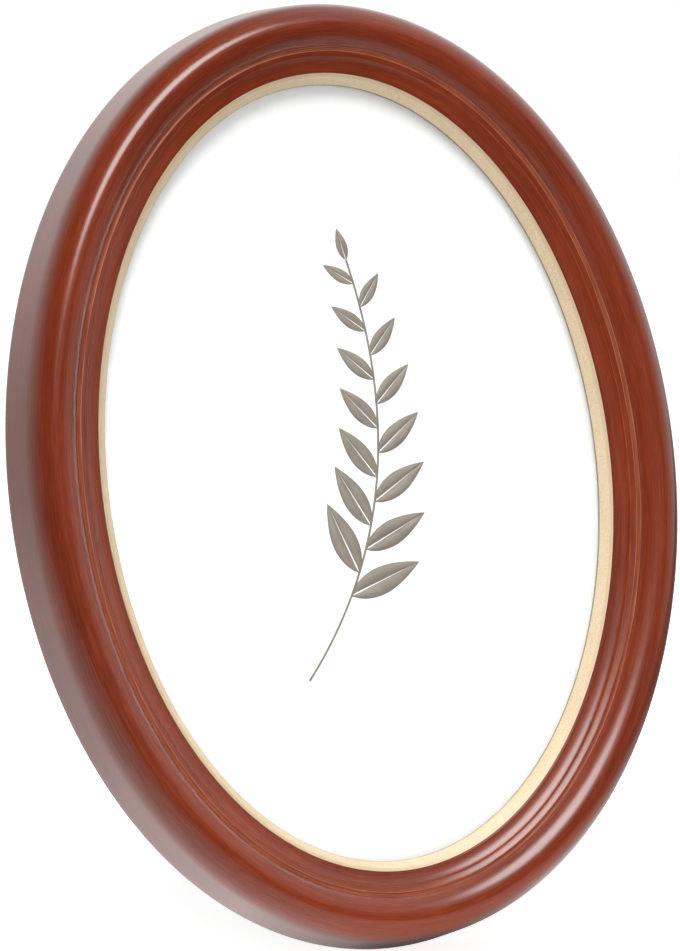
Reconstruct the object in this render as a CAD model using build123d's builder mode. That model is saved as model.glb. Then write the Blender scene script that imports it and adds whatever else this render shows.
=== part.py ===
"""Oval picture frame on an easel strut, standing on a table and leaning back.

Millimetres. +Z is up, the picture faces -Y, and the origin is on the table under the
middle of the frame. Every piece is drawn on the leaning plane of the sight edge: u runs
outwards from the sight edge, and heights are measured from that plane, forwards positive.
"""

import os
from math import atan, cos, degrees, hypot, radians, sin, tan

from build123d import *

# Picture, glazing and backing
card_width = 100.0
card_height = 150.0
card_thickness = 0.5
glass_thickness = 2.0
board_thickness = 3.0
glazing_clearance = 0.35
board_recess = 0.2

# Gilt slip round the sight edge
slip_width = 2.0
slip_rise = 2.5
slip_edge = 0.6
slip_bevel_width = 1.25
slip_bevel_rise = 1.95
glue_gap = 0.05

# Moulding section
cove_width = 3.4
cove_rise = 3.37
cove_hollow = 0.7
quirk_width = 1.33
quirk_drop = 0.72
quirk_depth = 0.45
bead_inner_width = 3.55
bead_rise = 2.05
bead_outer_width = 5.12
bead_shoulder_drop = 9.2
wall_height = 9.6
wall_flare_angle = 4.6
rear_round = 0.8

# Stance
lean_angle = 21.0
strut_open_angle = 32.0

# Strut
strut_thickness = 3.0
strut_top_width = 28.0
strut_foot_width = 44.0
strut_heel = 10.0
strut_shoulder_radius = 5.0
foot_trim = 2.0

# Strut hinge
hinge_height = 25.0
hinge_width = 24.0
hinge_leaf_length = 21.0
hinge_leaf_thickness = 0.8
hinge_corner_radius = 2.0
knuckle_radius = 1.8
knuckle_width = 9.0
knuckle_gap = 0.2
knuckle_relief = 0.3
hinge_pin_radius = 0.95
hinge_pin_end = 0.5
pin_clearance = 0.05
stop_gap = 0.05

# Rivets of the hinge and the hanger
rivet_radius = 1.1
rivet_head_radius = 2.1
rivet_head_height = 0.7
rivet_spacing = 13.0
rivet_end_margin = 5.0
rivet_clearance = 0.05
head_taper = 35.0

# Turn buttons and their screws
button_place_angle = 42.0
button_pivot_radius = 4.2
button_tip_radius = 2.8
button_reach = 9.4
button_thickness = 1.0
button_play = 0.05
screw_radius = 1.4
screw_length = 9.0
screw_tip_room = 0.5
screw_head_radius = 2.9
screw_head_height = 1.6
screw_clearance = 0.05

# Hanger at the top of the back board
hanger_hinge_gap = 7.5
strap_width = 6.0
strap_length = 8.5
strap_thickness = 0.8
strap_loop_radius = 1.6
strap_loop_relief = 0.1
hanger_rivet_end_margin = 3.3
ring_wire_radius = 0.8
ring_half_width = 5.0
ring_drop = 10.0
ring_corner_radius = 1.5
ring_clearance = 0.06

# Distances outwards from the sight edge, worked out along the section
bore_u = slip_width + glue_gap
cove_top_u = bore_u + cove_width
quirk_outer_u = cove_top_u + quirk_width
crown_u = quirk_outer_u + bead_inner_width

# Heights above the sight plane, worked out along the section
cove_top_z = slip_rise + cove_rise
quirk_outer_z = cove_top_z - quirk_drop
crown_z = quirk_outer_z + bead_rise
shoulder_z = crown_z - bead_shoulder_drop
rim_rear_z = shoulder_z - wall_height

# The side wall, which leaves the bead on a tangent and flares to the rounded rear edge
wall_flare = radians(wall_flare_angle)
wall_top_angle = atan(tan(wall_flare) * bead_shoulder_drop / bead_outer_width)
wall_top_u = crown_u + bead_outer_width * cos(wall_top_angle)
wall_top_z = shoulder_z + bead_shoulder_drop * sin(wall_top_angle)
wall_u = wall_top_u + (wall_top_z - rim_rear_z) * tan(wall_flare)
rear_round_u = wall_u - rear_round * (1 + sin(wall_flare)) / cos(wall_flare)
rim_middle_u = (bore_u + wall_u) / 2

# The stack in the rebate, from the slip's rear face to the back board
glass_front_z = -slip_edge
card_front_z = glass_front_z - glass_thickness
filler_front_z = card_front_z - card_thickness
board_rear_z = rim_rear_z + board_recess
board_front_z = board_rear_z + board_thickness
filler_thickness = filler_front_z - board_front_z

# Half axes of the sight edge
sight_half_width = card_width / 2 + glazing_clearance - bore_u
sight_half_height = card_height / 2 + glazing_clearance - bore_u

# How far the hinge axis stands behind the board, and the strut behind the axis
axis_stand_off = knuckle_radius + knuckle_relief
axis_z = board_rear_z - axis_stand_off
strut_outer_n = axis_stand_off + strut_thickness

# The stance on the table: the rim's lower rear edge and the strut's foot touch it
lean = radians(lean_angle)
strut_slope = radians(strut_open_angle - lean_angle)
rim_reach = sight_half_height + rear_round_u
rim_depth = -rim_rear_z - rear_round
centre_height = rim_reach * cos(lean) + rim_depth * sin(lean) + rear_round
axis_rise = centre_height + hinge_height * cos(lean) + axis_z * sin(lean)
strut_reach = (axis_rise + strut_outer_n * sin(strut_slope)) / cos(strut_slope)

# How far the bead stands forward of the centre, and the foot or the rim's top behind it
bead_reach = hypot(bead_outer_width * sin(lean), bead_shoulder_drop * cos(lean))
front_reach = (sight_half_height + crown_u) * sin(lean) + shoulder_z * cos(lean) + bead_reach
rim_rear_reach = rim_reach * sin(lean) + rim_depth * cos(lean) + rear_round
axis_rear_reach = hinge_height * sin(lean) - axis_z * cos(lean)
foot_offset = strut_outer_n * cos(strut_slope) + strut_reach * sin(strut_slope)
rear_reach = max(rim_rear_reach, axis_rear_reach + foot_offset)
centre_y = (front_reach - rear_reach) / 2

# Fasteners: places on the board and on the strut, and the screws' holes in the rim
rivet_setback = hinge_leaf_length - rivet_end_margin
board_rivet_places = [(side * rivet_spacing / 2, hinge_height + rivet_setback) for side in (-1, 1)]
strut_rivet_places = [(side * rivet_spacing / 2, -rivet_setback) for side in (-1, 1)]
strap_end = hinge_height + hinge_leaf_length + hanger_hinge_gap
hanger_height = strap_end + strap_length
hanger_rivet_place = (0, strap_end + hanger_rivet_end_margin)
rivet_head = (rivet_head_radius, rivet_head_height)
screw_hole_depth = screw_length - button_thickness - 2 * button_play + screw_tip_room
button_angles = {
    "upper_right": button_place_angle,
    "upper_left": 180 - button_place_angle,
    "lower_left": 180 + button_place_angle,
    "lower_right": 360 - button_place_angle,
}

# The leaning sight plane, and the upright plane across the oval's top for its sections
sight_plane = Plane(
    origin=(0, centre_y, centre_height), x_dir=(1, 0, 0), z_dir=(0, -cos(lean), sin(lean))
)
section_plane = Plane(
    origin=sight_plane.from_local_coords((0, sight_half_height, 0)),
    x_dir=sight_plane.y_dir,
    z_dir=sight_plane.x_dir,
)
with BuildSketch(sight_plane) as sight_oval:
    Ellipse(sight_half_width, sight_half_height)
sight_edge = sight_oval.sketch.edges()[0]


def rear_plane(z: float) -> Plane:
    """Plane behind the frame that faces backwards, with its y axis up the oval.

    Args:
        z: height of the plane over the sight plane.

    Returns:
        The plane, whose x axis runs to the left as seen from the front.
    """
    origin = sight_plane.from_local_coords((0, 0, z))
    return Plane(origin=origin, x_dir=-sight_plane.x_dir, z_dir=-sight_plane.z_dir)


def rim_plane(angle: float, z: float) -> Plane:
    """Plane on the middle of the rim that faces backwards, with its x axis inwards.

    Args:
        angle: the oval's own parameter, in degrees from its right-hand end.
        z: height of the plane over the sight plane.

    Returns:
        The plane, with its origin at the middle of the rim.
    """
    along_x = cos(radians(angle))
    along_y = sin(radians(angle))
    outward = Vector(along_x / sight_half_width, along_y / sight_half_height).normalized()
    edge = Vector(sight_half_width * along_x, sight_half_height * along_y)
    middle = edge + outward * rim_middle_u
    inward = -(sight_plane.x_dir * outward.X + sight_plane.y_dir * outward.Y)
    origin = sight_plane.from_local_coords((middle.X, middle.Y, z))
    return Plane(origin=origin, x_dir=inward, z_dir=-sight_plane.z_dir)


def oval_plate(front_z: float, thickness: float) -> None:
    """Oval plate of the picture's size, lying in the rebate behind the slip.

    Args:
        front_z: height of its front face.
        thickness: its thickness.
    """
    with BuildSketch(sight_plane.offset(front_z)) as outline:
        Ellipse(card_width / 2, card_height / 2)
    extrude(outline.sketch, amount=-thickness)


def fastener(seat: Plane, shank_radius: float, shank_length: float, head: tuple) -> None:
    """Round-headed fastener with its head on a seat and its shank running in behind it.

    Args:
        seat: the face under the head, with its normal pointing out of the work.
        shank_radius: radius of the shank.
        shank_length: length of the shank under the head.
        head: radius and height of the head.
    """
    head_radius, head_height = head
    with BuildSketch(seat) as shank:
        Circle(shank_radius)
    extrude(shank.sketch, amount=-shank_length)
    with BuildSketch(seat) as head_outline:
        Circle(head_radius)
    extrude(head_outline.sketch, amount=head_height, taper=head_taper)


def knuckle(start: float, end: float) -> None:
    """Rolled knuckle round the hinge axis.

    Args:
        start: where it starts along the axis.
        end: where it ends along the axis.
    """
    with BuildSketch(hinge_section.offset(start)) as roll:
        Circle(knuckle_radius)
    extrude(roll.sketch, amount=end - start)


def pin_bore(section: Plane, radius: float, length: float) -> None:
    """Bore along an axis, cut the same way to both sides of a section plane.

    Args:
        section: plane square to the axis.
        radius: radius of the bore.
        length: whole length of the bore.
    """
    with BuildSketch(section) as hole:
        Circle(radius)
    extrude(hole.sketch, amount=length / 2, both=True, mode=Mode.SUBTRACT)


# Faces that the hinge and the hanger sit on, and planes square to their axes
board_rear = rear_plane(board_rear_z)
leaf_rear = rear_plane(board_rear_z - hinge_leaf_thickness)
strap_rear = rear_plane(board_rear_z - strap_thickness)
hinge_point = sight_plane.from_local_coords((0, hinge_height, axis_z))
hinge_section = Plane(hinge_point, x_dir=sight_plane.y_dir, z_dir=sight_plane.x_dir)
strut_axis_plane = Plane(
    origin=hinge_point, x_dir=(-1, 0, 0), z_dir=(0, cos(strut_slope), sin(strut_slope))
)
strut_inner = strut_axis_plane.offset(axis_stand_off)
leaf_inner = strut_axis_plane.offset(axis_stand_off - hinge_leaf_thickness)
stop_plane = leaf_rear.offset(stop_gap)
hanger_axis_z = board_rear_z - strap_loop_radius - strap_loop_relief
hanger_point = sight_plane.from_local_coords((0, hanger_height, hanger_axis_z))
hanger_section = Plane(hanger_point, x_dir=sight_plane.y_dir, z_dir=sight_plane.x_dir)
ring_plane = Plane(hanger_point, x_dir=(1, 0, 0), z_dir=(0, -1, 0))

# Moulding: one section carried round the sight edge at constant width
with BuildPart() as moulding:
    with BuildSketch(section_plane) as section:
        with BuildLine():
            bore = Line((bore_u, rim_rear_z), (bore_u, slip_rise))
            cove = SagittaArc(bore @ 1, (cove_top_u, cove_top_z), -cove_hollow)
            quirk = SagittaArc(cove @ 1, (quirk_outer_u, quirk_outer_z), -quirk_depth)
            TangentArc((crown_u, crown_z), quirk @ 1, tangent=(-1, 0))
            bead_outer = EllipticalCenterArc(
                (crown_u, shoulder_z),
                bead_outer_width,
                bead_shoulder_drop,
                start_angle=degrees(wall_top_angle),
                arc_size=90 - degrees(wall_top_angle),
            )
            wall = Line(bead_outer @ 0, (wall_u, rim_rear_z))
            Line(wall @ 1, bore @ 0)
        make_face()
        rear_corner = section.vertices().sort_by_distance((wall_u, rim_rear_z))[0]
        fillet(rear_corner, rear_round)
    sweep(path=sight_edge)
    for angle in button_angles.values():
        with BuildSketch(rim_plane(angle, rim_rear_z)):
            Circle(screw_radius + screw_clearance)
        extrude(amount=-screw_hole_depth, mode=Mode.SUBTRACT)

# Gilt slip: bevelled fillet glued into the bore, which the glass rests against
with BuildPart() as gilt_slip:
    with BuildSketch(section_plane):
        with BuildLine():
            Polyline(
                (0, glass_front_z),
                (0, 0),
                (slip_bevel_width, slip_bevel_rise),
                (slip_width, slip_rise),
                (slip_width, glass_front_z),
                close=True,
            )
        make_face()
    sweep(path=sight_edge)

# Glass, picture card and corrugated filler, stacked in the rebate
with BuildPart() as glass:
    oval_plate(glass_front_z, glass_thickness)

with BuildPart() as insert_card:
    oval_plate(card_front_z, card_thickness)

with BuildPart() as filler_pad:
    oval_plate(filler_front_z, filler_thickness)

# Back board with holes for the rivets of the hinge and the hanger
with BuildPart() as back_board:
    oval_plate(board_front_z, board_thickness)
    with BuildSketch(board_rear):
        with Locations(*board_rivet_places, hanger_rivet_place):
            Circle(rivet_radius + rivet_clearance)
    extrude(amount=-board_thickness, mode=Mode.SUBTRACT)

# Upper hinge leaf, on the board, with the two outer knuckles
with BuildPart() as hinge_upper_leaf:
    with BuildSketch(board_rear) as leaf:
        with Locations((0, hinge_height)):
            Rectangle(hinge_width, hinge_leaf_length, align=(Align.CENTER, Align.MIN))
        fillet(leaf.vertices().group_by(Axis.Y)[-1], hinge_corner_radius)
        with Locations((0, hinge_height)):
            Rectangle(knuckle_width + 2 * knuckle_gap, 2 * axis_stand_off, mode=Mode.SUBTRACT)
        with Locations(*board_rivet_places):
            Circle(rivet_radius + rivet_clearance, mode=Mode.SUBTRACT)
    extrude(amount=hinge_leaf_thickness)
    knuckle(-hinge_width / 2, -knuckle_width / 2 - knuckle_gap)
    knuckle(knuckle_width / 2 + knuckle_gap, hinge_width / 2)
    pin_bore(hinge_section, hinge_pin_radius + pin_clearance, hinge_width)

# Lower hinge leaf, on the strut, with the middle knuckle
with BuildPart() as hinge_lower_leaf:
    with BuildSketch(strut_inner) as leaf:
        Rectangle(hinge_width, hinge_leaf_length, align=(Align.CENTER, Align.MAX))
        fillet(leaf.vertices().group_by(Axis.Y)[0], hinge_corner_radius)
        for side in (-1, 1):
            with Locations((side * (knuckle_width + hinge_width) / 2, 0)):
                Rectangle(hinge_width, 2 * axis_stand_off, mode=Mode.SUBTRACT)
        with Locations(*strut_rivet_places):
            Circle(rivet_radius + rivet_clearance, mode=Mode.SUBTRACT)
    extrude(amount=-hinge_leaf_thickness)
    knuckle(-knuckle_width / 2, knuckle_width / 2)
    pin_bore(hinge_section, hinge_pin_radius + pin_clearance, hinge_width)

# Hinge pin, with its ends standing a little out of the knuckles
with BuildPart() as hinge_pin:
    with BuildSketch(hinge_section):
        Circle(hinge_pin_radius)
    extrude(amount=hinge_width / 2 + hinge_pin_end, both=True)
    chamfer(hinge_pin.edges().filter_by(GeomType.CIRCLE), hinge_pin_end / 2)

# Strut: tapered leg, cut level at the foot and bevelled at the heel that stops it
with BuildPart() as strut:
    with BuildSketch(strut_inner) as leg:
        with BuildLine():
            Polyline(
                (-strut_top_width / 2, strut_heel),
                (strut_top_width / 2, strut_heel),
                (strut_foot_width / 2, -strut_reach - foot_trim),
                (-strut_foot_width / 2, -strut_reach - foot_trim),
                close=True,
            )
        make_face()
        fillet(leg.vertices().group_by(Axis.Y)[-1], strut_shoulder_radius)
        with Locations(*strut_rivet_places):
            Circle(rivet_radius + rivet_clearance, mode=Mode.SUBTRACT)
    extrude(amount=strut_thickness)
    split(bisect_by=Plane.XY, keep=Keep.TOP)
    split(bisect_by=stop_plane, keep=Keep.TOP)

# Rivets through the upper leaf and the board, and through the lower leaf and the strut
with BuildPart() as board_rivets:
    for x, y in board_rivet_places:
        seat = Plane(leaf_rear.from_local_coords((x, y, 0)), z_dir=leaf_rear.z_dir)
        fastener(seat, rivet_radius, hinge_leaf_thickness + board_thickness, rivet_head)

with BuildPart() as strut_rivets:
    for x, y in strut_rivet_places:
        seat = Plane(leaf_inner.from_local_coords((x, y, 0)), z_dir=-leaf_inner.z_dir)
        fastener(seat, rivet_radius, hinge_leaf_thickness + strut_thickness, rivet_head)

# Turn buttons over the edge of the back board, and the screws that they turn on
turn_buttons = {}
for place, angle in button_angles.items():
    with BuildPart() as button:
        with BuildSketch(rim_plane(angle, rim_rear_z - button_play)):
            Circle(button_pivot_radius)
            with Locations((button_reach, 0)):
                Circle(button_tip_radius)
            make_hull()
            Circle(screw_radius + screw_clearance, mode=Mode.SUBTRACT)
        extrude(amount=button_thickness)
    turn_buttons[f"turn_button_{place}"] = button

with BuildPart() as turn_button_screws:
    for angle in button_angles.values():
        seat = rim_plane(angle, rim_rear_z - button_thickness - 2 * button_play)
        fastener(seat, screw_radius, screw_length, (screw_head_radius, screw_head_height))

# Hanger strap with its rolled loop, the rivet that holds it, and the ring
with BuildPart() as hanger_strap:
    with BuildSketch(board_rear):
        with Locations((0, hanger_height)):
            Rectangle(strap_width, strap_length, align=(Align.CENTER, Align.MAX))
        with Locations(hanger_rivet_place):
            Circle(rivet_radius + rivet_clearance, mode=Mode.SUBTRACT)
    extrude(amount=strap_thickness)
    with BuildSketch(hanger_section):
        Circle(strap_loop_radius)
    extrude(amount=strap_width / 2, both=True)
    pin_bore(hanger_section, ring_wire_radius + ring_clearance, strap_width)

with BuildPart() as hanger_rivet:
    x, y = hanger_rivet_place
    seat = Plane(strap_rear.from_local_coords((x, y, 0)), z_dir=strap_rear.z_dir)
    fastener(seat, rivet_radius, strap_thickness + board_thickness, rivet_head)

with BuildPart() as hanger_ring:
    with BuildLine(ring_plane) as half_ring:
        bar_end = ring_half_width - ring_corner_radius
        bend_y = ring_half_width - ring_drop
        Line((0, 0), (bar_end, 0))
        CenterArc((bar_end, -ring_corner_radius), ring_corner_radius, 90, -90)
        Line((ring_half_width, -ring_corner_radius), (ring_half_width, bend_y))
        CenterArc((0, bend_y), ring_half_width, 0, -90)
    with BuildSketch(hanger_section):
        Circle(ring_wire_radius)
    sweep(path=half_ring.line)
    mirror(about=Plane.YZ)

pieces = {
    "moulding": moulding,
    "gilt_slip": gilt_slip,
    "glass": glass,
    "insert_card": insert_card,
    "filler_pad": filler_pad,
    "back_board": back_board,
    "hinge_upper_leaf": hinge_upper_leaf,
    "hinge_lower_leaf": hinge_lower_leaf,
    "hinge_pin": hinge_pin,
    "strut": strut,
    "board_rivets": board_rivets,
    "strut_rivets": strut_rivets,
    "turn_button_screws": turn_button_screws,
    "hanger_strap": hanger_strap,
    "hanger_rivet": hanger_rivet,
    "hanger_ring": hanger_ring,
    **turn_buttons,
}

os.makedirs("parts", exist_ok=True)
for name, piece in pieces.items():
    piece.part.label = name
    export_step(piece.part, f"parts/{name}.step")
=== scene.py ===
"""Looks of the oval picture frame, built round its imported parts.

Sizes are in millimetres on the leaning plane of the sight edge (x right, y up the oval, z
forwards) and become metres in the shared frame when a piece's mesh is placed.
"""

import logging
import math
from dataclasses import dataclass, field
from enum import Enum

import bmesh
import bpy
from mathutils import Matrix, Vector


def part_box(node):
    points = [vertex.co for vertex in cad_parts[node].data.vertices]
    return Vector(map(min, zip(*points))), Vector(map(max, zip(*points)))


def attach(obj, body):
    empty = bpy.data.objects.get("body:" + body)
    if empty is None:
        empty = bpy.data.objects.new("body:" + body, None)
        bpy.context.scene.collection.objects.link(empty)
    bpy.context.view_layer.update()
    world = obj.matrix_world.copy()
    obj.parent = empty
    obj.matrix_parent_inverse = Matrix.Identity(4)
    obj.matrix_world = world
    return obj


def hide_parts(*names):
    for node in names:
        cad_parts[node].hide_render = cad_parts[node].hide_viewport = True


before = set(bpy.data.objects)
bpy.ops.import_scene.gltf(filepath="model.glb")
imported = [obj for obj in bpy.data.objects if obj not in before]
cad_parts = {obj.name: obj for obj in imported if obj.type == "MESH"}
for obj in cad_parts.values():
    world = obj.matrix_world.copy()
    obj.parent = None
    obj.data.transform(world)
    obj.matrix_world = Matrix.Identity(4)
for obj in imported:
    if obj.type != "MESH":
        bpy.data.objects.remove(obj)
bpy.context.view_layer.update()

MM = 0.001
IMAGE_HEIGHT = 951
SENSOR_MM = 36.0
MERGE_MM = 1e-4
CAD_MERGE_MM = 1e-3
FLAT_DEG = 0.5
SHARP_DEG = 40.0
SMOOTH_DEG = 35.0
Socket = bpy.types.NodeSocket
Colour = tuple[float, float, float]
Point = tuple[float, float]
Way = tuple[float, float, float]
log = logging.getLogger("oval_frame")


class Body(Enum):
    """Rigid bodies that the pieces ride on."""

    FRAME = "frame"
    STRUT = "strut"
    RING = "hanger_ring"
    UPPER_RIGHT_BUTTON = "turn_button_upper_right"
    UPPER_LEFT_BUTTON = "turn_button_upper_left"
    LOWER_LEFT_BUTTON = "turn_button_lower_left"
    LOWER_RIGHT_BUTTON = "turn_button_lower_right"


class Slot(Enum):
    """Material slots of the record."""

    WOOD = "lacquered_wood"
    GILT = "gilt"
    GLASS = "clear_glass"
    CARD = "printed_card"
    CORRUGATED = "corrugated_board"
    BOARD = "dark_board"
    STEEL = "plated_steel"


class Graph:
    """Adds and links the nodes of one shader or geometry tree."""

    def __init__(self, tree: bpy.types.NodeTree) -> None:
        """Keep the tree that nodes are added to."""
        self.tree = tree

    def add(self, kind: str, inputs: dict | None = None, **settings: object) -> bpy.types.Node:
        """Add a node.

        Args:
            kind: Blender's name of the node type.
            inputs: values or output sockets by input name or index.
            settings: the node's own properties.

        Returns:
            The new node.
        """
        node = self.tree.nodes.new(kind)
        for name, value in settings.items():
            setattr(node, name, value)
        self.fill(node, inputs or {})
        return node

    def fill(self, node: bpy.types.Node, inputs: dict) -> None:
        """Set or link a node's inputs.

        Args:
            node: the node.
            inputs: values or output sockets by input name or index.
        """
        for key, value in inputs.items():
            if isinstance(value, Socket):
                self.tree.links.new(value, node.inputs[key])
            else:
                node.inputs[key].default_value = value

    def math(self, operation: str, first: object, second: object = 0.0) -> Socket:
        """Result of a Math node."""
        return self.add("ShaderNodeMath", {0: first, 1: second}, operation=operation).outputs[0]

    def vector_math(self, operation: str, first: object, second: object) -> Socket:
        """Result of a Vector Math node."""
        node = self.add("ShaderNodeVectorMath", {0: first, 1: second}, operation=operation)
        return node.outputs[0]

    def measure(self, operation: str, first: object, second: object = (0.0, 0.0, 0.0)) -> Socket:
        """Single value that a Vector Math node works out, such as a distance."""
        node = self.add("ShaderNodeVectorMath", {0: first, 1: second}, operation=operation)
        return node.outputs["Value"]

    def turned(self, axis: str, toward: Socket, angle: Socket) -> Socket:
        """Rotation that points an axis along a vector and then turns about its own Z."""
        aligned = self.add("FunctionNodeAlignRotationToVector", {"Vector": toward}, axis=axis)
        spin = self.add("FunctionNodeEulerToRotation", {0: self.combine(0.0, 0.0, angle)})
        both = {0: aligned.outputs[0], 1: spin.outputs[0]}
        return self.add("FunctionNodeRotateRotation", both, rotation_space="LOCAL").outputs[0]

    def combine(self, x: object, y: object, z: object) -> Socket:
        """Vector made of three values."""
        return self.add("ShaderNodeCombineXYZ", {0: x, 1: y, 2: z}).outputs[0]

    def noise(self, vector: Socket, scale: float, detail: float) -> Socket:
        """Noise value from 0 to 1 at a vector."""
        inputs = {"Vector": vector, "Scale": scale, "Detail": detail}
        return self.add("ShaderNodeTexNoise", inputs).outputs[0]

    def remap(self, value: Socket, low: float, high: float, to_low: float, to_high: float) -> Socket:
        """Value mapped from one range to another and kept inside it."""
        inputs = {0: value, 1: low, 2: high, 3: to_low, 4: to_high}
        return self.add("ShaderNodeMapRange", inputs).outputs[0]

    def mix(self, factor: object, first: object, second: object) -> Socket:
        """Mix of two colours."""
        first, second = (opaque(c) if isinstance(c, tuple) else c for c in (first, second))
        node = self.add("ShaderNodeMix", {0: factor, 6: first, 7: second}, data_type="RGBA")
        return node.outputs[2]

    def bump(self, height: Socket, distance_mm: float, strength: float) -> Socket:
        """Normal disturbed by a height in millimetres."""
        inputs = {"Height": height, "Distance": distance_mm * MM, "Strength": strength}
        return self.add("ShaderNodeBump", inputs).outputs[0]

    def attribute(self, name: str) -> bpy.types.Node:
        """Node that reads an attribute stored on the mesh."""
        return self.add("ShaderNodeAttribute", attribute_name=name)

    def object_point(self) -> Socket:
        """Place of the shaded point in the shared frame, in millimetres."""
        place = self.add("ShaderNodeTexCoord").outputs["Object"]
        return self.vector_math("MULTIPLY", place, (1 / MM,) * 3)


def blank_graph(owner: bpy.types.Material | bpy.types.World) -> Graph:
    """Empty shader tree of a material or a world."""
    owner.use_nodes = True
    owner.node_tree.nodes.clear()
    return Graph(owner.node_tree)


def opaque(colour: Colour) -> tuple[float, float, float, float]:
    """Colour with full alpha."""
    return (*colour, 1.0)


@dataclass(frozen=True)
class Finish:
    """A surface finish that can make its material.

    Attributes:
        name: the material's name.
    """

    name: str

    def material(self) -> bpy.types.Material:
        """Make the material with its Principled shader and let the finish fill it in.

        Returns:
            The finished material.
        """
        made = bpy.data.materials.new(self.name)
        graph = blank_graph(made)
        shader = graph.add("ShaderNodeBsdfPrincipled")
        graph.add("ShaderNodeOutputMaterial", {"Surface": shader.outputs[0]})
        self.fill(graph, shader)
        return made

    def fill(self, graph: Graph, shader: bpy.types.Node) -> None:
        """Set the shader's sockets; each finish has its own.

        Args:
            graph: the material's tree.
            shader: its Principled shader.
        """
        raise NotImplementedError


@dataclass(frozen=True)
class MahoganyLacquer(Finish):
    """Glossy lacquer over red-brown wood, with grain along the ring, a darker tone at the cove's foot and
    rubbed arrises that carry painted highlights.
    """

    dark: Colour = (0.130, 0.013, 0.001)
    middle: Colour = (0.205, 0.0235, 0.0022)
    light: Colour = (0.275, 0.044, 0.008)
    pore: Colour = (0.125, 0.015, 0.002)
    # Pale pink of rubbed arrises, which also serves as a painted highlight along them
    arris_wear_and_highlight: Colour = (0.640, 0.270, 0.160)
    bare: Colour = (0.088, 0.036, 0.018)
    bare_dark: Colour = (0.036, 0.014, 0.008)
    coat_roughness: float = 0.25

    def fill(self, graph: Graph, shader: bpy.types.Node) -> None:
        """Lay grain, a darker tone at the cove's foot, arrises lightened partly by real rubbing and partly
        as painted highlight, and a bare rear face.
        """
        ring = graph.attribute("ring").outputs["Vector"]
        across = graph.attribute("across").outputs["Fac"]
        wear_and_highlight = graph.attribute("wear_and_highlight").outputs["Fac"]
        darker_by_foot = graph.attribute("darker_by_foot").outputs["Fac"]
        dull = graph.attribute("dull").outputs["Fac"]
        bare = graph.attribute("bare").outputs["Fac"]
        turned = graph.add("ShaderNodeSeparateXYZ", {0: ring}).outputs

        def grain(along: float, over: float) -> Socket:
            """Vector that stretches a pattern along the ring."""
            x = graph.math("MULTIPLY", turned[0], along)
            y = graph.math("MULTIPLY", turned[1], along)
            return graph.combine(x, y, graph.math("MULTIPLY", across, over))

        figure = graph.noise(grain(2.4, 0.16), 1.0, 4.0)
        streak = graph.noise(grain(9.0, 3.4), 1.0, 5.0)
        pore = graph.noise(grain(30.0, 8.5), 1.0, 2.0)
        tone = graph.mix(graph.remap(figure, 0.3, 0.7, 0.0, 1.0), self.dark, self.middle)
        tone = graph.mix(graph.remap(streak, 0.42, 0.78, 0.0, 0.75), tone, self.light)
        flecks = graph.remap(pore, 0.46, 0.64, 0.0, 0.55)
        tone = graph.mix(flecks, tone, self.pore)
        # Darker tone towards the cove's foot, next to the slip
        tone = graph.mix(graph.math("MULTIPLY", darker_by_foot, 0.8), tone, self.dark)
        patchy = graph.remap(streak, 0.3, 0.7, 0.35, 1.0)
        # Pale arris colour: partly real rubbing of the lacquer, partly a painted highlight on the arrises
        # and the groove floor
        tone = graph.mix(graph.math("MULTIPLY", wear_and_highlight, patchy), tone, self.arris_wear_and_highlight)
        raw = graph.mix(graph.remap(streak, 0.3, 0.7, 0.0, 1.0), self.bare_dark, self.bare)
        raw = graph.mix(flecks, raw, self.bare_dark)
        tone = graph.mix(bare, tone, raw)
        ripple = graph.noise(graph.object_point(), 0.16, 2.0)
        dust = graph.noise(graph.object_point(), 1.9, 3.0)
        height = graph.math("ADD", graph.math("MULTIPLY", pore, -0.3), ripple)
        height = graph.math("ADD", height, graph.remap(dust, 0.74, 0.82, 0.0, 0.3))
        graph.fill(shader, {
            "Base Color": tone,
            "Roughness": graph.math("ADD", graph.remap(streak, 0.3, 0.7, 0.30, 0.40),
                                    graph.math("MULTIPLY", bare, 0.3)),
            "Coat Weight": graph.math("MULTIPLY", graph.math("SUBTRACT", 1.0, bare),
                                      graph.math("SUBTRACT", 1.0, dull)),
            "Coat Roughness": self.coat_roughness,
            "Coat IOR": 1.5,
            "Specular IOR Level": 0.05,
            "Normal": graph.bump(height, 0.05, 0.25),
        })


@dataclass(frozen=True)
class GiltPaint(Finish):
    """Satin gold paint with a fine sparkling grain and a painted shade on its inner face."""

    deep: Colour = (0.570, 0.405, 0.255)
    pale: Colour = (0.580, 0.430, 0.250)
    bright: Colour = (0.730, 0.600, 0.410)
    # Painted shade on the slip's inner face, next to the glass
    edge: Colour = (0.210, 0.180, 0.140)
    outer_facet: float = 2.95
    shaded_inner_face: float = 0.55

    def fill(self, graph: Graph, shader: bpy.types.Node) -> None:
        """Lay the grain, a slow change of tone along the ring, a deeper tone on the outer facet and a
        painted shade on the inner face.
        """
        place = graph.object_point()
        grain = graph.noise(place, 3.2, 3.0)
        cloud = graph.noise(place, 0.11, 2.0)
        across = graph.attribute("across").outputs["Fac"]
        tone = graph.mix(graph.remap(grain, 0.3, 0.7, 0.0, 1.0), self.pale, self.bright)
        tone = graph.mix(graph.remap(cloud, 0.35, 0.65, 0.0, 0.35), tone, self.bright)
        toned = graph.remap(across, self.outer_facet - 0.1, self.outer_facet + 0.1, 0.0, 0.8)
        tone = graph.mix(toned, tone, self.deep)
        # Painted shade: the inner face below the sight edge is darkened
        tone = graph.mix(graph.remap(across, self.shaded_inner_face, self.shaded_inner_face + 0.1, 1.0, 0.0),
                         tone, self.edge)
        graph.fill(shader, {
            "Base Color": tone,
            "Metallic": 0.1,
            "Roughness": graph.remap(grain, 0.3, 0.7, 0.46, 0.6),
            "Coat Weight": 0.08,
            "Coat Roughness": 0.25,
            "Normal": graph.bump(grain, 0.06, 0.45),
        })


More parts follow.
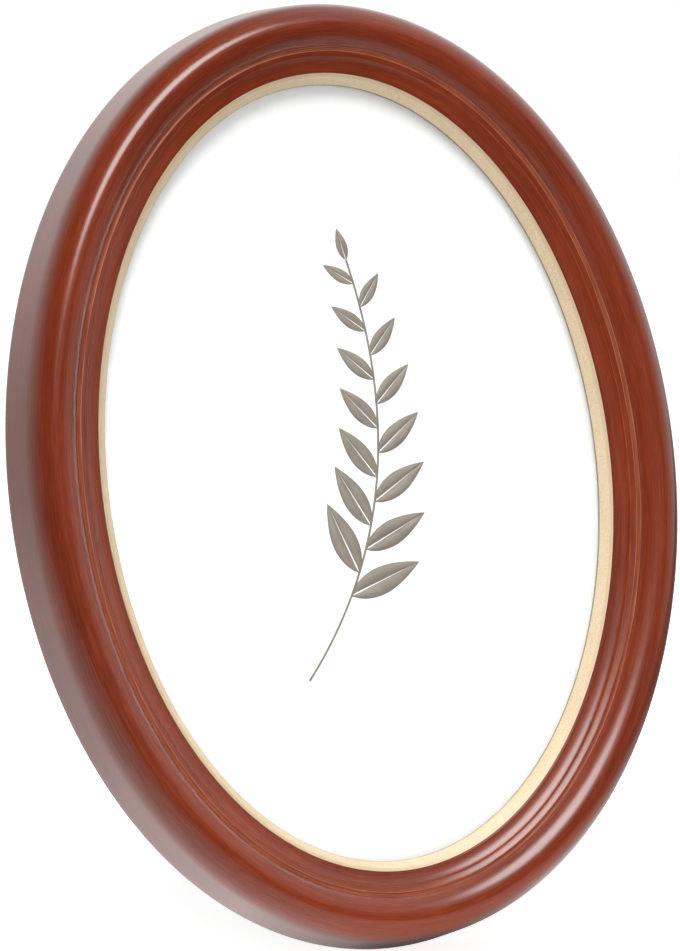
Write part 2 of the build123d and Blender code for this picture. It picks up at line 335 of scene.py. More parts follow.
@dataclass(frozen=True)
class ClearGlass(Finish):
    """Polished picture glass that lets the lamps through to the card."""

    tint: Colour = (0.995, 0.998, 0.997)

    def fill(self, graph: Graph, shader: bpy.types.Node) -> None:
        """Make the shader glass, and clear for shadows."""
        smear = graph.noise(graph.object_point(), 0.05, 3.0)
        graph.fill(shader, {
            "Base Color": opaque(self.tint),
            "Roughness": graph.remap(smear, 0.4, 0.8, 0.0, 0.03),
            "IOR": 1.5,
            "Transmission Weight": 1.0,
        })
        clear = graph.add("ShaderNodeBsdfTransparent", {"Color": opaque(self.tint)}).outputs[0]
        path = graph.add("ShaderNodeLightPath").outputs
        passing = graph.math("MAXIMUM", path["Is Shadow Ray"], path["Is Diffuse Ray"])
        both = graph.add("ShaderNodeMixShader", {0: passing, 1: shader.outputs[0], 2: clear})
        output = next(n for n in graph.tree.nodes if n.type == "OUTPUT_MATERIAL")
        graph.tree.links.new(both.outputs[0], output.inputs["Surface"])


@dataclass(frozen=True)
class PrintPaper(Finish):
    """Smooth white card, or the ink printed on it, with a faint painted glow that lifts its shade."""

    pale: Colour = (0.950, 0.950, 0.947)
    fibre: Colour = (0.925, 0.925, 0.921)
    painted_glow: float = 0.10

    def fill(self, graph: Graph, shader: bpy.types.Node) -> None:
        """Lay faint fibres and a slight tooth."""
        place = graph.object_point()
        cloud = graph.noise(place, 0.35, 4.0)
        tooth = graph.noise(place, 6.0, 2.0)
        graph.fill(shader, {
            "Base Color": graph.mix(graph.remap(cloud, 0.35, 0.7, 0.0, 1.0), self.pale, self.fibre),
            "Roughness": graph.remap(tooth, 0.3, 0.7, 0.55, 0.7),
            "Specular IOR Level": 0.3,
            "Normal": graph.bump(tooth, 0.01, 0.2),
            # Painted glow: the card and its ink emit a little light to lift their shade
            "Emission Color": opaque(self.pale),
            "Emission Strength": self.painted_glow,
        })


@dataclass(frozen=True)
class Corrugated(Finish):
    """Brown corrugated board, with flutes showing on its edge."""

    kraft: Colour = (0.390, 0.240, 0.120)
    shade: Colour = (0.200, 0.110, 0.050)
    flute_pitch: float = 5.5

    def fill(self, graph: Graph, shader: bpy.types.Node) -> None:
        """Lay the flutes' bands and the paper's fibres."""
        place = graph.object_point()
        x = graph.add("ShaderNodeSeparateXYZ", {0: place}).outputs[0]
        wave = graph.math("SINE", graph.math("MULTIPLY", x, 2 * math.pi / self.flute_pitch))
        fibre = graph.noise(place, 0.9, 5.0)
        band = graph.math("MULTIPLY", graph.remap(wave, -1.0, 1.0, 0.0, 0.6), fibre)
        graph.fill(shader, {
            "Base Color": graph.mix(band, self.kraft, self.shade),
            "Roughness": graph.remap(fibre, 0.3, 0.7, 0.8, 0.95),
            "Normal": graph.bump(fibre, 0.1, 0.4),
        })


@dataclass(frozen=True)
class DarkBoard(Finish):
    """Matt black-brown faced fibreboard, paler where its edges are rubbed."""

    face: Colour = (0.030, 0.024, 0.020)
    fibre: Colour = (0.062, 0.050, 0.041)
    scuff: Colour = (0.150, 0.118, 0.090)

    def fill(self, graph: Graph, shader: bpy.types.Node) -> None:
        """Lay pressed fibres, faint scuffs and rubbed edges."""
        place = graph.object_point()
        fibre = graph.noise(graph.vector_math("MULTIPLY", place, (1.0, 1.0, 0.35)), 1.6, 5.0)
        cloud = graph.noise(place, 0.045, 3.0)
        scratch = graph.noise(graph.vector_math("MULTIPLY", place, (0.06, 1.4, 1.1)), 1.0, 3.0)
        edge = graph.add("ShaderNodeNewGeometry").outputs["Pointiness"]
        tone = graph.mix(graph.remap(fibre, 0.4, 0.75, 0.0, 0.8), self.face, self.fibre)
        tone = graph.mix(graph.remap(scratch, 0.7, 0.8, 0.0, 0.35), tone, self.scuff)
        tone = graph.mix(graph.remap(edge, 0.53, 0.62, 0.0, 0.7), tone, self.scuff)
        graph.fill(shader, {
            "Base Color": tone,
            "Roughness": graph.remap(cloud, 0.35, 0.65, 0.55, 0.72),
            "Specular IOR Level": 0.35,
            "Normal": graph.bump(fibre, 0.06, 0.4),
        })


@dataclass(frozen=True)
class PlatedSteel(Finish):
    """Lightly brushed nickel plate with fine scratches and dull patches."""

    bright: Colour = (0.700, 0.675, 0.630)
    dull: Colour = (0.430, 0.405, 0.370)

    def fill(self, graph: Graph, shader: bpy.types.Node) -> None:
        """Lay brushing, scratches and tarnish."""
        place = graph.object_point()
        brushed = graph.noise(graph.vector_math("MULTIPLY", place, (0.5, 7.0, 7.0)), 1.0, 3.0)
        tarnish = graph.noise(place, 0.35, 4.0)
        tone = graph.mix(graph.remap(tarnish, 0.42, 0.72, 0.0, 0.7), self.bright, self.dull)
        graph.fill(shader, {
            "Base Color": tone,
            "Metallic": 1.0,
            "Roughness": graph.math("ADD", graph.remap(brushed, 0.3, 0.7, 0.20, 0.34),
                                    graph.remap(tarnish, 0.45, 0.75, 0.0, 0.16)),
            "Normal": graph.bump(brushed, 0.015, 0.35),
        })


@dataclass(frozen=True)
class Palette:
    """Every finish of the frame, each made once as a material."""

    wood: bpy.types.Material
    gilt: bpy.types.Material
    glass: bpy.types.Material
    card: bpy.types.Material
    ink: bpy.types.Material
    corrugated: bpy.types.Material
    board: bpy.types.Material
    steel: bpy.types.Material

    @classmethod
    def mixed(cls) -> "Palette":
        """Make all the materials."""
        ink = PrintPaper("warm_grey_ink", (0.235, 0.200, 0.160), (0.180, 0.152, 0.120))
        return cls(
            wood=MahoganyLacquer("mahogany_lacquer").material(),
            gilt=GiltPaint("gilt_paint").material(),
            glass=ClearGlass("clear_glass").material(),
            card=PrintPaper("white_card").material(),
            ink=ink.material(),
            corrugated=Corrugated("corrugated_board").material(),
            board=DarkBoard("dark_board").material(),
            steel=PlatedSteel("plated_steel").material(),
        )


@dataclass(frozen=True)
class Stance:
    """How the oval leans, found from the glass, which lies square behind the sight plane."""

    lean_deg: float = 21.0
    glass_middle_z: float = -1.6

    def turn(self) -> Matrix:
        """Rotation from the upright oval's axes to the leaning ones."""
        lean = math.radians(self.lean_deg)
        columns = ((1, 0, 0), (0, math.sin(lean), math.cos(lean)), (0, -math.cos(lean), math.sin(lean)))
        return Matrix(columns).transposed().to_4x4()

    def matrix(self) -> Matrix:
        """Placement from the oval's own millimetres to the shared frame's metres."""
        low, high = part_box("glass")
        turn = self.turn()
        middle = (low + high) / 2 - turn @ Vector((0, 0, self.glass_middle_z * MM))
        return Matrix.Translation(middle) @ turn @ Matrix.Scale(MM, 4)


@dataclass
class Outline:
    """Section outline made of sampled stretches, with rounded corners between them.

    Attributes:
        points: the outline's points, outwards and forwards.
        wear_and_highlight: how rubbed each point is, with its painted highlight.
    """

    points: list[Point] = field(default_factory=list)
    wear_and_highlight: list[float] = field(default_factory=list)

    @staticmethod
    def line(start: Point, end: Point, steps: int) -> list[Point]:
        """Points along a straight stretch."""
        a, b = Vector(start), Vector(end)
        return [tuple(a.lerp(b, i / steps)) for i in range(steps + 1)]

    @staticmethod
    def bow(start: Point, end: Point, sagitta: float, steps: int) -> list[Point]:
        """Points along an arc.

        Args:
            start: where it starts.
            end: where it ends.
            sagitta: how far it bows to the left of the way from start to end.
            steps: how many stretches it has.

        Returns:
            The points, both ends included.
        """
        a, b = Vector(start), Vector(end)
        half = (b - a).length / 2
        along = (b - a).normalized()
        left = Vector((-along.y, along.x))
        radius = (half * half + sagitta * sagitta) / (2 * abs(sagitta))
        side = math.copysign(1.0, sagitta)
        centre = (a + b) / 2 + left * (sagitta - side * radius)
        sweep = math.asin(min(1.0, half / radius))
        turns = [sweep * (2 * i / steps - 1) for i in range(steps + 1)]
        made = [centre + (left * side * math.cos(t) + along * math.sin(t)) * radius for t in turns]
        return [tuple(p) for p in made]

    @staticmethod
    def curve(begin: Point, stop: Point, slopes: tuple[float, float], reaches: tuple[float, float],
              steps: int = 20) -> list[Point]:
        """Smooth curve between two points of the section.

        Args:
            begin: where it starts.
            stop: where it ends.
            slopes: its slope at the start and at the end, in degrees.
            reaches: how far it keeps to each slope, in millimetres.
            steps: how many steps it is drawn in.

        Returns:
            Its points.
        """
        start, end = Vector(begin), Vector(stop)
        rise, leave = math.radians(slopes[0]), math.radians(slopes[1])
        first = start + reaches[0] * Vector((math.cos(rise), math.sin(rise)))
        second = end - reaches[1] * Vector((math.cos(leave), math.sin(leave)))
        points = []
        for i in range(steps + 1):
            t = i / steps
            a, b, c = start.lerp(first, t), first.lerp(second, t), second.lerp(end, t)
            points.append(tuple(a.lerp(b, t).lerp(b.lerp(c, t), t)))
        return points

    @staticmethod
    def trimmed(points: list[Point], length: float) -> list[Point]:
        """Points with a length cut off the end."""
        left = length
        kept = [Vector(p) for p in points]
        while len(kept) > 2 and (kept[-1] - kept[-2]).length <= left:
            left -= (kept[-1] - kept[-2]).length
            kept.pop()
        step = kept[-1] - kept[-2]
        kept[-1] = kept[-1] - step.normalized() * left
        return [tuple(p) for p in kept]

    @classmethod
    def joined(cls, stretches: list[list[Point]], rounds: list[float], corner_wear_and_highlight: list[float]) -> "Outline":
        """Join stretches into a closed outline.

        Args:
            stretches: sampled stretches, each starting where the last one ends.
            rounds: how far the corner after each stretch is cut back.
            corner_wear_and_highlight: how rubbed that corner is, with its painted highlight.

        Returns:
            The closed outline, without its first point again at the end.
        """
        made = cls()
        corner_steps = 5
        count = len(stretches)
        for i, stretch in enumerate(stretches):
            kept = cls.trimmed(stretch, rounds[i])
            kept = cls.trimmed(kept[::-1], rounds[i - 1])[::-1]
            following = stretches[(i + 1) % count]
            start, corner = Vector(kept[-1]), Vector(stretch[-1])
            end = Vector(cls.trimmed(following[::-1], rounds[i])[-1])
            made.extend(kept, 0.0)
            if rounds[i] == 0.0:
                made.points.pop()
                made.wear_and_highlight.pop()
                continue
            for step in range(1, corner_steps):
                t = step / corner_steps
                bent = start.lerp(corner, t).lerp(corner.lerp(end, t), t)
                made.extend([tuple(bent)], corner_wear_and_highlight[i] * math.sin(math.pi * t))
        return made

    def extend(self, points: list[Point], wear_and_highlight: float) -> None:
        """Add points with one value of rubbing and painted highlight."""
        self.points.extend(points)
        self.wear_and_highlight.extend([wear_and_highlight] * len(points))

    def lengths(self) -> list[float]:
        """Length along the outline at each point."""
        total, made = 0.0, [0.0]
        for a, b in zip(self.points, self.points[1:]):
            total += math.dist(a, b)
            made.append(total)
        return made


@dataclass
class OvalRing:
    """A section carried round the sight edge at constant width.

    Attributes:
        half_width: half of the sight edge's width.
        half_height: half of its height.
        path_points: points round the path.
    """

    half_width: float = 48.3
    half_height: float = 73.3
    path_points: int = 480

    def tree(self) -> bpy.types.NodeTree:
        """Geometry tree that carries a section round an oval.

        Returns:
            The tree, with the path's and the section's attributes passed to the mesh.
        """
        tree = new_geometry_tree("section_round_oval", {
            "Half Width": "NodeSocketFloat", "Half Height": "NodeSocketFloat",
            "Path Points": "NodeSocketInt", "Section": "NodeSocketObject",
            "Finish": "NodeSocketMaterial",
        })
        graph = Graph(tree)
        given = graph.add("NodeGroupInput").outputs
        circle = graph.add("GeometryNodeCurvePrimitiveCircle",
                           {"Resolution": given["Path Points"], "Radius": 1.0}, mode="RADIUS")
        place = graph.add("GeometryNodeInputPosition").outputs[0]
        marked = graph.add("GeometryNodeStoreNamedAttribute",
                           {"Geometry": circle.outputs[0], "Name": "ring", "Value": place},
                           data_type="FLOAT_VECTOR", domain="POINT")
        spread = graph.combine(given["Half Width"], given["Half Height"], 1.0)
        oval = graph.add("GeometryNodeSetPosition", {
            "Geometry": marked.outputs[0],
            "Position": graph.vector_math("MULTIPLY", place, spread),
        })
        upright = graph.add("GeometryNodeSetCurveNormal", {0: oval.outputs[0]}, mode="Z_UP")
        section = graph.add("GeometryNodeObjectInfo", {"Object": given["Section"]})
        profile = graph.add("GeometryNodeMeshToCurve", {"Mesh": section.outputs["Geometry"]})
        swept = graph.add("GeometryNodeCurveToMesh",
                          {"Curve": upright.outputs[0], "Profile Curve": profile.outputs[0]})
        finish_tree(graph, swept.outputs[0], given["Finish"])
        return tree

    def swept(self, name: str, outline: Outline, marks: dict[str, list[float]],
              finish: bpy.types.Material, place: Matrix) -> bpy.types.Object:
        """Carry an outline round the path.

        Args:
            name: the piece's name.
            outline: the closed section.
            marks: further values for each of the outline's points.
            finish: the material.
            place: from the oval's millimetres to the shared frame.

        Returns:
            The piece.
        """
        count = len(outline.points)
        loop = [(i, (i + 1) % count) for i in range(count)]
        section = plain_object(f"{name}_section", [(u, -z, 0.0) for u, z in outline.points], loop, [])
        for mark, values in {"across": outline.lengths(), "wear_and_highlight": outline.wear_and_highlight, **marks}.items():
            section.data.attributes.new(mark, "FLOAT", "POINT").data.foreach_set("value", values)
        tree = bpy.data.node_groups.get("section_round_oval") or self.tree()
        piece = run_tree(name, tree, {
            "Half Width": self.half_width, "Half Height": self.half_height,
            "Path Points": self.path_points, "Section": section, "Finish": finish,
        }, place)
        bpy.data.objects.remove(section)
        return piece


def link_object(name: str, data: bpy.types.ID) -> bpy.types.Object:
    """Add an object with its data to the scene."""
    made = bpy.data.objects.new(name, data)
    bpy.context.scene.collection.objects.link(made)
    return made


def plain_object(name: str, places: list, edges: list, faces: list) -> bpy.types.Object:
    """Add an object whose mesh has the given corners, edges and faces."""
    mesh = bpy.data.meshes.new(name)
    mesh.from_pydata(places, edges, faces)
    return link_object(name, mesh)


def new_geometry_tree(name: str, inputs: dict[str, str]) -> bpy.types.NodeTree:
    """Empty geometry tree with named inputs and one geometry output.

    Args:
        name: the tree's name.
        inputs: socket types by input name.

    Returns:
        The tree.
    """
    tree = bpy.data.node_groups.new(name, "GeometryNodeTree")
    for label, kind in inputs.items():
        tree.interface.new_socket(label, in_out="INPUT", socket_type=kind)
    tree.interface.new_socket("Geometry", in_out="OUTPUT", socket_type="NodeSocketGeometry")
    return tree


def finish_tree(graph: Graph, geometry: Socket, finish: Socket) -> None:
    """End a geometry tree: smooth shading, real instances and the material.

    Args:
        graph: the tree.
        geometry: what has been made so far.
        finish: the material's socket.
    """
    smooth = graph.add("GeometryNodeSetShadeSmooth", {0: geometry})
    real = graph.add("GeometryNodeRealizeInstances", {0: smooth.outputs[0]})
    dressed = graph.add("GeometryNodeSetMaterial", {0: real.outputs[0], "Material": finish})
    graph.add("NodeGroupOutput", {0: dressed.outputs[0]})


def run_tree(name: str, tree: bpy.types.NodeTree, values: dict, place: Matrix,
             thickness: float = 0.0) -> bpy.types.Object:
    """Make a piece from a geometry tree and turn it into a plain mesh.

    Args:
        name: the piece's name.
        tree: the geometry tree.
        values: what its named inputs take.
        place: from the tree's millimetres to the shared frame.
        thickness: how thick flat faces become, if at all.

    Returns:
        The piece, with its place in its mesh.
    """
    piece = link_object(name, bpy.data.meshes.new(name))
    modifier = piece.modifiers.new("shape", "NODES")
    modifier.node_group = tree
    for item in tree.interface.items_tree:
        if item.in_out == "INPUT" and item.name in values:
            modifier[item.identifier] = values[item.name]
    if thickness:
        solid = piece.modifiers.new("thickness", "SOLIDIFY")
        solid.thickness = thickness
        solid.offset = 1.0
    graph = bpy.context.evaluated_depsgraph_get()
    mesh = bpy.data.meshes.new_from_object(
        piece.evaluated_get(graph), preserve_all_data_layers=True, depsgraph=graph)
    piece.modifiers.clear()
    piece.data = mesh
    mesh.name = name
    tidy(mesh)
    mesh.transform(place)
    return piece


def tidy(mesh: bpy.types.Mesh) -> None:
    """Merge doubles in a mesh in millimetres and turn all its faces outwards."""
    work = bmesh.new()
    work.from_mesh(mesh)
    bmesh.ops.remove_doubles(work, verts=work.verts, dist=MERGE_MM)
    bmesh.ops.recalc_face_normals(work, faces=work.faces)
    work.to_mesh(mesh)
    work.free()
    mesh.update()


def new_piece(name: str, work: bmesh.types.BMesh, place: Matrix) -> bpy.types.Object:
    """Make a piece from a bmesh in millimetres.

    Args:
        name: the piece's name.
        work: its shape, which is freed.
        place: from millimetres to the shared frame.

    Returns:
        The piece.
    """
    mesh = bpy.data.meshes.new(name)
    bmesh.ops.recalc_face_normals(work, faces=work.faces)
    work.to_mesh(mesh)
    work.free()
    mesh.transform(place)
    return link_object(name, mesh)


def bind(piece: bpy.types.Object, body: Body, slot: Slot, *nodes: str) -> None:
    """Let a piece ride on its body and stand for nodes.

    Args:
        piece: the piece.
        body: the body.
        slot: the record's material slot; not used.
        nodes: the nodes that it stands for.
    """
    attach(piece, body.value)
    if nodes:
        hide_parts(*nodes)
    log.info("%s: %d faces on %s", piece.name, len(piece.data.polygons), body.value)


def merged_copy(node: str) -> bmesh.types.BMesh:
    """Copy of a node in millimetres, with doubles merged and flat faces whole.

    Args:
        node: the node that is copied.

    Returns:
        The copy.
    """
    work = bmesh.new()
    work.from_mesh(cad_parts[node].data)
    bmesh.ops.transform(work, matrix=Matrix.Scale(1 / MM, 4), verts=work.verts)
    bmesh.ops.remove_doubles(work, verts=work.verts, dist=CAD_MERGE_MM)
    bmesh.ops.dissolve_limit(work, angle_limit=math.radians(FLAT_DEG), verts=work.verts,
                             edges=work.edges)
    return work


def eased_copy(node: str, name: str, ease: float, finish: bpy.types.Material) -> bpy.types.Object:
    """Copy of a node with its sharp edges eased.

    Args:
        node: the node that is copied.
        name: the piece's name.
        ease: width of the eased edge, in millimetres.
        finish: the material.

    Returns:
        The piece.
    """
    work = merged_copy(node)
    limit = math.radians(SHARP_DEG)
    sharp = [e for e in work.edges if e.is_manifold and e.calc_face_angle(0.0) > limit]
    bmesh.ops.bevel(work, geom=sharp, offset=ease, segments=2, profile=0.5, affect="EDGES",
                    clamp_overlap=True)
    for face in work.faces:
        face.smooth = True
    piece = new_piece(name, work, Matrix.Scale(MM, 4))
    piece.data.set_sharp_from_angle(angle=math.radians(SMOOTH_DEG))
    piece.data.materials.append(finish)
    return piece


@dataclass
class MouldedRim:
    """The lacquered ring and the gilt slip in its bore."""

    slip_width: float = 2.0
    slip_rise: float = 2.5
    slip_edge: float = 0.6
    slip_bevel_width: float = 1.25
    slip_bevel_rise: float = 1.95
    slip_round: float = 0.12
    bore_u: float = 2.05
    cove_width: float = 2.9
    cove_rise: float = 1.4
    cove_foot_deg: float = 10.0
    cove_top_deg: float = 58.0
    cove_reaches: Point = (1.5, 0.6)
    facet_width: float = 1.05
    facet_rise: float = 0.55
    quirk_width: float = 0.78
    quirk_depth: float = 0.16
    bead_foot_deg: float = 66.0
    bead_reaches: Point = (1.3, 1.6)
    bead_steps: int = 24
    bead_inner_width: float = 4.0
    bead_rise: float = 2.75
    bead_outer_width: float = 4.67
    bead_shoulder_drop: float = 9.2
    wall_height: float = 9.6
    wall_flare_deg: float = 4.6
    rear_round: float = 0.95
    arris_round: float = 0.13
    edge_round: float = 0.25
    # Lightening of the step arris and the quirk arrises is real rubbing plus painted highlight; on the
    # quirk floor it is painted highlight
    step_wear_and_highlight: float = 0.2
    quirk_arris_wear_and_highlight: float = 0.6
    quirk_floor_painted_highlight: float = 0.22
    # Darker tone towards the cove's foot, next to the slip
    foot_darkening: float = 0.8
    foot_darkening_width: float = 0.7
    dull_width: float = 0.4
    dullness: float = 0.8
    bare_round_share: float = 0.45

    def section(self) -> tuple[Outline, dict[str, list[float]]]:
        """Outline of the ring with its rounded arrises.

        Returns:
            The outline, and for each point how much darker it is towards the foot, how dull and how bare
            it is.
        """
        foot = (self.bore_u, self.slip_rise)
        cove_top = (self.bore_u + self.cove_width, self.slip_rise + self.cove_rise)
        quirk_inner = (cove_top[0] + self.facet_width, cove_top[1] + self.facet_rise)
        quirk_outer = (quirk_inner[0] + self.quirk_width, quirk_inner[1])
        crown = (quirk_outer[0] + self.bead_inner_width, quirk_outer[1] + self.bead_rise)
        spring_z = crown[1] - self.bead_shoulder_drop
        slope = math.tan(math.radians(self.wall_flare_deg))
        last = math.atan(slope * self.bead_shoulder_drop / self.bead_outer_width)
        shares = [i / self.bead_steps for i in range(self.bead_steps + 1)]
        turns = [math.pi / 2 + (last - math.pi / 2) * share for share in shares]
        bead_outer = [(crown[0] + self.bead_outer_width * math.cos(t),
                       spring_z + self.bead_shoulder_drop * math.sin(t)) for t in turns]
        wall_top, rear_z = bead_outer[-1], spring_z - self.wall_height
        rear_outer = (wall_top[0] + (wall_top[1] - rear_z) * slope, rear_z)
        rear_inner = (self.bore_u, rear_z)
        outline = Outline.joined(
            [
                Outline.line(rear_inner, foot, 4),
                Outline.curve(foot, cove_top, (self.cove_foot_deg, self.cove_top_deg), self.cove_reaches),
                Outline.line(cove_top, quirk_inner, 4),
                Outline.bow(quirk_inner, quirk_outer, -self.quirk_depth, 12),
                Outline.curve(quirk_outer, crown, (self.bead_foot_deg, 0.0), self.bead_reaches),
                bead_outer,
                Outline.line(wall_top, rear_outer, 6),
                Outline.line(rear_outer, rear_inner, 6),
            ],
            [self.edge_round, self.arris_round, self.arris_round, self.arris_round, 0.0, 0.0,
             self.rear_round, self.edge_round],
            [0.0, self.step_wear_and_highlight, self.quirk_arris_wear_and_highlight, self.quirk_arris_wear_and_highlight, 0.0, 0.0, 0.0, 0.0],
        )
        darker_by_foot, dull, bare = [], [], []
        for i, (u, z) in enumerate(outline.points):
            in_front = z > self.slip_rise - self.edge_round
            # Lacquer darkened towards the cove's foot, next to the slip
            darkening = 1 - min(1.0, (u - self.bore_u) / self.foot_darkening_width) if in_front else 0.0
            darker_by_foot.append(self.foot_darkening * darkening)
            near_step = max(0.0, 1 - abs(u - cove_top[0]) / self.dull_width)
            in_quirk = 1.0 if in_front and quirk_inner[0] < u < quirk_outer[0] else 0.0
            # Quirk floor lightened as a painted highlight
            outline.wear_and_highlight[i] = max(outline.wear_and_highlight[i], self.quirk_floor_painted_highlight * in_quirk)
            dull.append(self.dullness * max(near_step, in_quirk) if in_front else 0.0)
            at_rear = z < rear_z + self.rear_round * self.bare_round_share
            at_bore = u < self.bore_u + self.edge_round / 2 and not in_front
            bare.append(1.0 if at_rear or at_bore else 0.0)
        return outline, {"darker_by_foot": darker_by_foot, "dull": dull, "bare": bare}

    def slip_section(self) -> Outline:
        """Outline of the gilt slip, a steep bevel with a narrow outer facet."""
        corners = [
            (0.0, -self.slip_edge), (0.0, 0.0), (self.slip_bevel_width, self.slip_bevel_rise),
            (self.slip_width, self.slip_rise), (self.slip_width, -self.slip_edge),
        ]
        ends = corners[1:] + corners[:1]
        sides = [Outline.line(a, b, 3) for a, b in zip(corners, ends)]
        return Outline.joined(sides, [self.slip_round] * len(sides), [0.0] * len(sides))

    def build(self, ring: OvalRing, palette: Palette, place: Matrix) -> None:
        """Build the ring and the slip.

        Args:
            ring: the path that they follow.
            palette: the materials.
            place: from the oval's millimetres to the shared frame.
        """
        outline, marks = self.section()
        moulding = ring.swept("moulding_ring", outline, marks, palette.wood, place)
        bind(moulding, Body.FRAME, Slot.WOOD, "moulding")
        slip = ring.swept("gilt_sight_slip", self.slip_section(), {}, palette.gilt, place)
        bind(slip, Body.FRAME, Slot.GILT, "gilt_slip")


@dataclass
class Glazing:
    """Glass, card with its print, and the filler behind them."""

    half_width: float = 50.0
    half_height: float = 75.0
    glass_front: float = -0.6
    glass_rear: float = -2.52
    card_front: float = -2.6
    card_thickness: float = 0.5
    card_edge_round: float = 0.05
    glass_edge_round: float = 0.25
    ink_lift: float = 0.02
    rim_points: int = 240

    def plate(self, name: str, front: float, rear: float, ease: float, finish: bpy.types.Material,
              place: Matrix) -> bpy.types.Object:
        """Oval plate with eased edges.

        Args:
            name: the piece's name.
            front: height of its front face.
            rear: height of its rear face.
            ease: how far its edges are cut back.
            finish: the material.
            place: from the oval's millimetres to the shared frame.

        Returns:
            The piece.
        """
        work = bmesh.new()
        loops = []
        for inset, height in ((ease, front), (0.0, front - ease), (0.0, rear + ease), (ease, rear)):
            turns = [2 * math.pi * i / self.rim_points for i in range(self.rim_points)]
            loops.append([
                work.verts.new(((self.half_width - inset) * math.cos(t),
                                (self.half_height - inset) * math.sin(t), height)) for t in turns
            ])
        for upper, lower in zip(loops, loops[1:]):
            for i in range(self.rim_points):
                work.faces.new((upper[i - 1], upper[i], lower[i], lower[i - 1]))
        work.faces.new(loops[0])
        work.faces.new(loops[-1][::-1])
        piece = new_piece(name, work, place)
        piece.data.materials.append(finish)
        return piece

    def build(self, palette: Palette, place: Matrix) -> None:
        """Build the glass, the card and its print, and dress the filler.

        Args:
            palette: the materials.
            place: from the oval's millimetres to the shared frame.
        """
        glass = self.plate("picture_glass", self.glass_front, self.glass_rear,
                           self.glass_edge_round, palette.glass, place)
        bind(glass, Body.FRAME, Slot.GLASS, "glass")
        card_rear = self.card_front - self.card_thickness
        card = self.plate("picture_card", self.card_front, card_rear, self.card_edge_round,
                          palette.card, place)
        bind(card, Body.FRAME, Slot.CARD, "insert_card")
        raised = place @ Matrix.Translation((0, 0, self.card_front + self.ink_lift))
        LeafSprig().build(palette, raised)
        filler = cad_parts["filler_pad"]
        filler.data.materials.clear()
        filler.data.materials.append(palette.corrugated)


